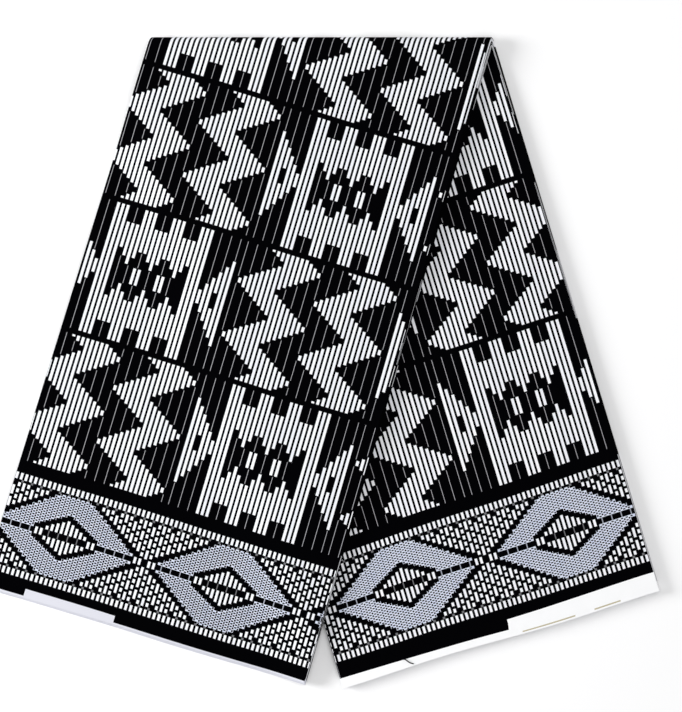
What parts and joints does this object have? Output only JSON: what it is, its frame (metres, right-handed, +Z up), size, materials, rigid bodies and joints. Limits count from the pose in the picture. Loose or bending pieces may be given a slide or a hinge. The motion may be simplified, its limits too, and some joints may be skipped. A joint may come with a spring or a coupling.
{
  "type": "african wax print fabric",
  "caption": "Cut length of printed cotton, folded back and forth into a strip that is folded over on a slant, so two legs splay.",
  "frame": {"origin": "on the surface, under the middle of the folded cloth's box", "axes": "+Z up, +Y towards the slanted fold at the top of the two legs, +X to the right, with the left leg on top"},
  "size_m": [0.6376, 0.6106, 0.0165],
  "materials": {
    "printed_cotton": "matt plain-weave cotton, printed black and white"
  },
  "bodies": {
    "root": {"folded_cloth": "printed_cotton"}
  },
  "joints": []
}
